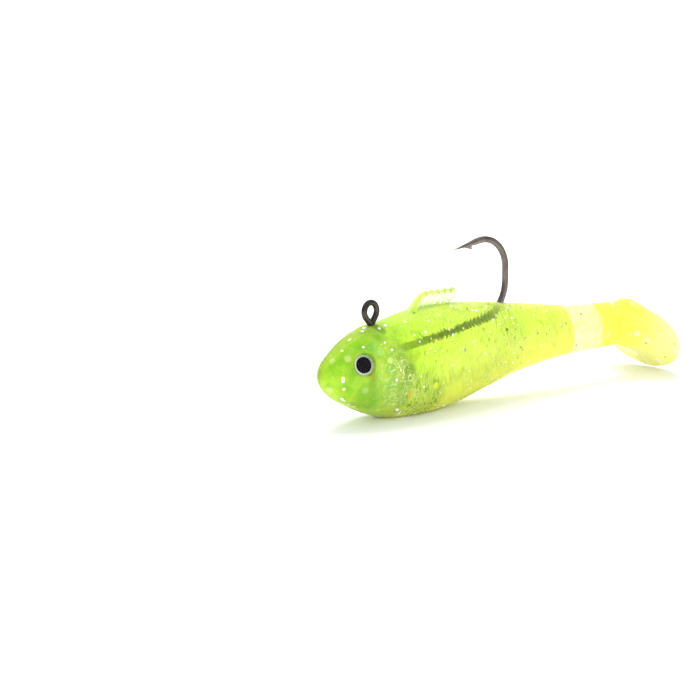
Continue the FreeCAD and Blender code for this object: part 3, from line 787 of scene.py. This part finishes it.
def make_skins(material):
    """The moulding in three pieces: front, tail and paddle."""
    nose = [NOSE_LENGTH * (i / 24) ** 2 for i in range(1, 24)]
    rings = [ring_at(s) for s in nose + stations(NOSE_LENGTH, FRONT_SEAM)]
    front = mesh_object("skin_front", [material], *bridge(rings, close_start=Vector((0, 0, NOSE_HEIGHT))))
    rings = [ring_at(s) for s in stations(FRONT_SEAM, TAIL_SEAM)]
    tail = mesh_object("skin_tail", [material], *bridge(rings))
    disc, middle = paddle_rings()
    rings = [ring_at(s) for s in stations(TAIL_SEAM, NECK_END)] + disc
    paddle = mesh_object("skin_paddle", [material], *bridge(rings, close_end=middle))
    return front, tail, paddle


def bend(piece, a, b, middle):
    """Bakes a piece's place into its mesh; it bends nothing, and the two bodies and the distance are not
    used.
    """
    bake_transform(piece)


def flake_place(rng, low, high, shallow):
    """A random place in the moulding with the way its flake faces: level with the skin, or sunk in it."""
    seats = [eye_frame(side)[0] for side in (-1, 1)]
    while True:
        s = rng.uniform(low, high)
        angle = rng.uniform(0, 2 * math.pi)
        point = skin_point(s, angle)
        if point.z > 0.6 and min((point - seat).length for seat in seats) > DOME_RADIUS + 0.9:
            break
    step = 0.05
    normal = (skin_point(s, angle + step) - skin_point(s, angle - step)).cross(
        skin_point(s + step, angle) - skin_point(s - step, angle)).normalized()
    wobble = 0.04 if shallow else 0.5
    facing = (normal + Vector([rng.gauss(0, wobble) for _ in range(3)])).normalized()
    sink = -0.035 if shallow else rng.uniform(0.3, 1.6) * min(section(s)[2] / 5, 1)
    return point - normal * sink, facing


def paddle_place(rng, rim):
    """A random place just under either face of the paddle, clear of its rim."""
    angle = rng.uniform(0, 2 * math.pi)
    edge = rim[int(angle / (2 * math.pi) * AROUND) % AROUND]
    place = paddle_point(angle, min(rng.uniform(3, 9), edge - 1.6), rng.choice((-1, 1)) * 1.0)
    direction = PADDLE_REAR + Vector([rng.gauss(0, 0.1) for _ in range(3)])
    return place, direction.normalized()


def make_flakes(name, places, materials, weights, sizes, rng):
    """Six-sided flakes of cut film, each a thin plate."""
    points, faces, tones = [], [], []
    for place, normal in places:
        size = rng.uniform(*sizes)
        across = normal.orthogonal().normalized()
        other = normal.cross(across)
        spin = rng.uniform(0, math.pi)
        tone = rng.choices(range(len(materials)), weights=weights)[0]
        base = len(points)
        for lift in (-FLAKE_HALF, FLAKE_HALF):
            for corner in range(6):
                turn = spin + math.pi * corner / 3
                reach = (across * math.cos(turn) + other * math.sin(turn)) * size
                points.append(place + reach + normal * lift)
        faces.append(tuple(base + 5 - i for i in range(6)))
        faces.append(tuple(base + 6 + i for i in range(6)))
        faces += [(base + i, base + (i + 1) % 6, base + 6 + (i + 1) % 6, base + 6 + i) for i in range(6)]
        tones += [tone] * 8
    piece = mesh_object(name, materials, points, faces)
    for polygon, tone in zip(piece.data.polygons, tones):
        polygon.material_index = tone
        polygon.use_smooth = False
    return piece


def scatter_flakes():
    """All the flakes. Every group draws from one run of random numbers, so their order matters."""
    rng = random.Random(SEED)
    materials = [plain_material(name, srgb(*tone), rough, metal) for name, tone, rough, metal in FLAKE_LOOKS]
    for name, count, low, high, shallow, weights, sizes, zone in FLAKES:
        places = [flake_place(rng, low, high, shallow) for _ in range(count)]
        flakes = make_flakes(name, places, materials, weights, sizes, rng)
        bend(flakes, *BODIES[zone], zone)
    rim = paddle_rim()
    places = [paddle_place(rng, rim) for _ in range(PADDLE_FLAKES)]
    flakes = make_flakes("flakes_paddle", places, materials, PADDLE_WEIGHTS, PADDLE_SIZES, rng)
    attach(flakes, "paddle")


# Film and eyes --------------------

def make_film(side, name, material):
    """Crinkled film under the skin, rounded off above and behind."""
    points, faces, index = [], [], {}
    rows, columns = 70, 70
    for row in range(rows + 1):
        for column in range(columns + 1):
            s = FILM_START + FILM_LENGTH * column / columns
            angle = math.radians(FILM_FOOT + FILM_WRAP * row / rows)
            place = oval_point(s, angle, 1.15)
            crease = abs(noise.noise(place * 0.5)) * 0.7 + abs(noise.noise(place * 1.4)) * 0.35
            place = oval_point(s, angle, FILM_DEPTH + crease)
            inside = any(math.hypot(s - at_s, place.z - at_z) < radius
                         for at_s, at_z, radius in (FILM_CHEEK, FILM_KEEL))
            if inside and place.z >= FILM_LOWEST:
                index[row, column] = len(points)
                points.append(Vector((place.x, side * abs(place.y), place.z)))
    for row in range(rows):
        for column in range(columns):
            corners = [index.get(key) for key in ((row, column), (row, column + 1), (row + 1, column + 1),
                                                  (row + 1, column))]
            if None not in corners:
                faces.append(tuple(corners))
    piece = mesh_object(name, [material], points, faces)
    piece.modifiers.new("film", "SOLIDIFY").thickness = FILM_THICKNESS * MM
    return piece


def spin_profile(name, profile, seat, normal, material, steps=64):
    """A turned piece: profile is (radius, height) pairs from the axis outwards."""
    across = normal.orthogonal().normalized()
    other = normal.cross(across)
    turns = [2 * math.pi * i / steps for i in range(steps)]
    rings = [[seat + (across * math.cos(turn) + other * math.sin(turn)) * radius + normal * height
              for turn in turns] for radius, height in profile]
    return mesh_object(name, [material], *bridge(rings, close_start=seat + normal * profile[0][1],
                                                 close_end=seat + normal * profile[-1][1]))


def make_eye(side, side_name, iris_material, pupil_material, dome_material):
    """An eye on one cheek: a silver ring, the printed pupil on it and the clear dome over both."""
    centre, normal = eye_frame(side)
    seat = centre - normal * EYE_DEPTH
    iris = spin_profile("iris_" + side_name, [
        (1.2, 0.02), (1.75, 0.03), (1.95, 0.10), (IRIS_RADIUS, 0.20), (IRIS_RADIUS, 0.22), (2.02, 0.24),
        (1.90, 0.26), (1.4, 0.26)], seat, normal, iris_material)
    pupil = spin_profile("pupil_" + side_name, [
        (0.5, 0.27), (PUPIL_RADIUS - 0.03, 0.27), (PUPIL_RADIUS, 0.29), (PUPIL_RADIUS - 0.05, 0.33),
        (0.5, 0.34)], seat, normal, pupil_material)
    arc = [(DOME_RADIUS * math.cos(turn), DOME_RIM + (DOME_CROWN - DOME_RIM) * math.sin(turn))
           for turn in map(math.radians, range(0, 88, 8))]
    under = [(0.4, 0.36), (1.8, 0.36), (2.25, 0.28), (DOME_RADIUS - 0.06, 0.02), (DOME_RADIUS, 0.12)]
    dome = spin_profile("dome_" + side_name, under + arc, seat, normal, dome_material)
    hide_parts("eye_iris_" + side_name)
    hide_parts("eye_pupil_" + side_name)
    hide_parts("eye_dome_" + side_name)
    for piece, slot in ((iris, "iris"), (pupil, "pupil"), (dome, "dome")):
        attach(piece, "front")


# Hook --------------------

def hook_line():
    """Centre line of the wire, from the ring's free end to the point."""
    def along(point, angle, length):
        turn = math.radians(angle)
        return point + Vector((math.cos(turn), 0, math.sin(turn))) * length

    def line(start, end):
        count = max(int((end - start).length / WIRE_STEP), 1)
        return [start.lerp(end, i / count) for i in range(count)]

    def arc(centre, radius, first, last):
        count = max(int(abs(math.radians(last - first)) * radius / WIRE_STEP), 4)
        return [along(centre, first + (last - first) * i / count, radius) for i in range(count)]

    ring, ring_foot, ring_from, ring_to = Vector((14.4, 0, 25.2)), Vector((14.8, 0.0, 22.0)), -46, 228
    shank_angle, lower, upper = 8.1, 9.0, 7.3
    bend_s, bend_z, straight = 56.2, 27.6, 3.0
    reach = lower * math.tan(math.radians((90 - shank_angle) / 2))
    corner = Vector((bend_s, 0, bend_z - reach))
    shank_end = along(corner, 180 + shank_angle, reach)
    heel_s = 17.2
    fall = (shank_end.x - heel_s) * math.tan(math.radians(shank_angle))
    heel = Vector((heel_s, 0, shank_end.z - fall))
    apex = Vector((14.35, 0, 21.9))
    leg_angle = math.degrees(math.atan2(heel.z - apex.z, heel.x - apex.x))
    bend_radius = 3.0
    leg_reach = bend_radius * math.tan(math.radians((shank_angle - leg_angle) / 2))
    leg_end = along(heel, leg_angle + 180, leg_reach)
    leg_centre = along(leg_end, leg_angle + 90, bend_radius)
    upper_centre = Vector((bend_s - upper, 0, bend_z + straight))
    spear, spear_length = 101.0, 8.2
    spear_start = along(upper_centre, spear, upper)
    spear_end = along(spear_start, spear + 90, spear_length)

    def loop(angle):
        """The line-tie is a loop drawn down to a point, taller than it is wide."""
        turn = math.radians(angle)
        return Vector((ring.x + RING_WIDE * math.cos(turn), 0,
                       ring.z - RING_DROP + RING_TALL * math.sin(turn)))

    path = line(ring_foot, loop(ring_from))
    path += [loop(angle) for angle in range(ring_from, ring_to, 8)]
    path += line(loop(ring_to), apex)
    path += line(apex, leg_end)
    path += arc(leg_centre, bend_radius, leg_angle - 90, shank_angle - 90)
    path += line(along(heel, shank_angle, leg_reach), shank_end)
    path += arc(Vector((bend_s - lower, 0, bend_z)), lower, shank_angle - 90, 0)
    path += line(Vector((bend_s, 0, bend_z)), Vector((bend_s, 0, bend_z + straight)))
    path += arc(upper_centre, upper, 0, spear)
    path += line(spear_start, spear_end) + [spear_end]
    return path


def make_hook(material):
    """The wire, forged flatter round its bend and ground to a point, and the barb."""
    path = hook_line()
    for _ in range(2):
        inner_path = [(path[i - 1] + path[i] * 2 + path[i + 1]) / 4 for i in range(1, len(path) - 1)]
        path = [path[0]] + inner_path + [path[-1]]
    lengths = [0.0]
    for first, second in zip(path, path[1:]):
        lengths.append(lengths[-1] + (second - first).length)
    total, sides = lengths[-1], 24
    turns = [2 * math.pi * k / sides for k in range(sides)]
    rings = []
    for i, point in enumerate(path):
        tangent = (path[min(i + 1, len(path) - 1)] - path[max(i - 1, 0)]).normalized()
        inward = Vector((0, 1, 0)).cross(tangent).normalized()
        taper = min(1.0, 0.05 + 0.95 * ((total - lengths[i]) / POINT_LENGTH) ** 0.85)
        forged = smooth(48, 56, lengths[i]) * (1 - smooth(total - 8, total - 4, lengths[i]))
        in_plane = WIRE * taper * (1 + 0.10 * forged)
        across = WIRE * taper * (1 - 0.16 * forged)
        corner = 2 + 1.2 * forged
        rings.append([point + inward * in_plane * boxed(math.cos(turn), corner)
                      + Vector((0, 1, 0)) * across * boxed(math.sin(turn), corner) for turn in turns])
    hook = mesh_object("hook_wire", [material], *bridge(rings, close_start=path[0], close_end=path[-1]))

    # The barb is a sliver cut up from the inner side of the wire, its tip towards the bend.
    forward = (path[-1] - path[-8]).normalized()
    inner = Vector((forward.z, 0, -forward.x))
    if inner.z > 0:
        inner = -inner
    root = path[-1] - forward * 3.0
    outline = [root + inner * 0.25, root - forward * 2.7 + inner * 1.45, root - forward * 2.5 + inner * 0.30,
               root - forward * 1.2 + inner * 0.1]
    points = [place + Vector((0, side * (0.25 if number == 1 else 1.0), 0))
              for side in (-0.30, 0.30) for number, place in enumerate(outline)]
    faces = [(0, 1, 2, 3), (7, 6, 5, 4)] + [(i, (i + 1) % 4, (i + 1) % 4 + 4, i + 4) for i in range(4)]
    barb = mesh_object("hook_barb", [material], points, faces)
    for polygon in barb.data.polygons:
        polygon.use_smooth = False
    for piece in (hook, barb):
        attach(piece, "front")
    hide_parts("hook")


# Dorsal fin --------------------

def make_fin(material):
    """Dorsal fin: a thin web with raked ribs, thick at its root and along its front edge."""
    overhang = 1.1        # how much further back the top reaches at its rear end
    columns, rows = 190, 16
    rings = []
    for column in range(columns + 1):
        u = FIN_LENGTH * column / columns
        rolled = (u - FIN_FIRST) / FIN_PITCH
        rib = (0.5 - 0.5 * math.cos(2 * math.pi * rolled)) ** 1.5 if 0 < rolled < FIN_RIBS else 0.0
        front = 0.25 * min(u / 3.2, 1) ** 2 + 0.75 * smooth(0.2, 3.2, u)
        lead = 1 - smooth(2.4, 4.6, u)
        middle, half_height, _ = section(FIN_START + u)
        base = min(23.7, middle + half_height - 0.6)
        rear = 1 - smooth(FIN_LENGTH - 0.5, FIN_LENGTH, u)
        height = (FIN_TOP - base + 0.34 * (rib - 0.5) * front) * front * (0.45 + 0.55 * rear)
        swept = FIN_LEAN + overhang * smooth(FIN_LENGTH * 0.6, FIN_LENGTH, u)
        ring = []
        for side in (-1, 1):
            order = range(rows + 1) if side < 0 else range(rows, -1, -1)
            for row in order:
                v = row / rows
                bead = math.exp(-((v - 0.90) / 0.10) ** 2)
                half = 0.20 + 0.26 * rib * (0.5 + 0.5 * v) + 0.60 * (1 - v) ** 3 + 0.45 * lead + 0.34 * bead
                thick = half * math.sqrt(max(1 - v ** 8, 0.02))
                s = FIN_START + u + swept * v * v ** 0.3 * front
                ring.append(Vector((s, side * thick, base + height * v)))
        rings.append(ring)

    def centre(ring):
        return sum(ring, Vector()) / len(ring)

    fin = mesh_object("fin", [material],
                      *bridge(rings, close_start=centre(rings[0]), close_end=centre(rings[-1])))
    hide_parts("dorsal_fin", "fin_web")
    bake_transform(fin)


# Scene --------------------

def main():
    """The camera, floor and light, then every piece."""
    make_camera()
    make_floor()
    make_light()

    skin = skin_material()
    front, tail, paddle = make_skins(skin)
    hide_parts("body_front", "waist_flex", "body_rear")
    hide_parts("wrist_flex", "tail_stem")
    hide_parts("ankle_flex", "tail_paddle")
    bend(front, "front", "rear", WAIST)
    bend(tail, "rear", "stem", WRIST)
    bend(paddle, "stem", "paddle", ANKLE)

    make_fin(fin_material())
    scatter_flakes()

    film = foil_material()
    for side, side_name in ((-1, "left"), (1, "right")):
        piece = make_film(side, "film_" + side_name, film)
        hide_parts("foil_" + side_name)
        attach(piece, "front")
    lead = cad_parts["head_weight"]
    lead.data.materials.clear()
    lead.data.materials.append(lead_material())

    iris = plain_material("silver_iris", srgb(255, 255, 255), 0.3, 0.15)
    pupil = plain_material("pupil_print", srgb(8, 8, 10), 0.7, 0.0, Specular_IOR_Level=0.1)
    dome = plain_material("clear_dome", (0.97, 0.99, 0.98, 1), 0.08, 0.0,
                          Transmission_Weight=1.0, IOR=1.38, Alpha=0.32)
    for side, side_name in ((-1, "left"), (1, "right")):
        make_eye(side, side_name, iris, pupil, dome)
    make_hook(hook_material())


main()
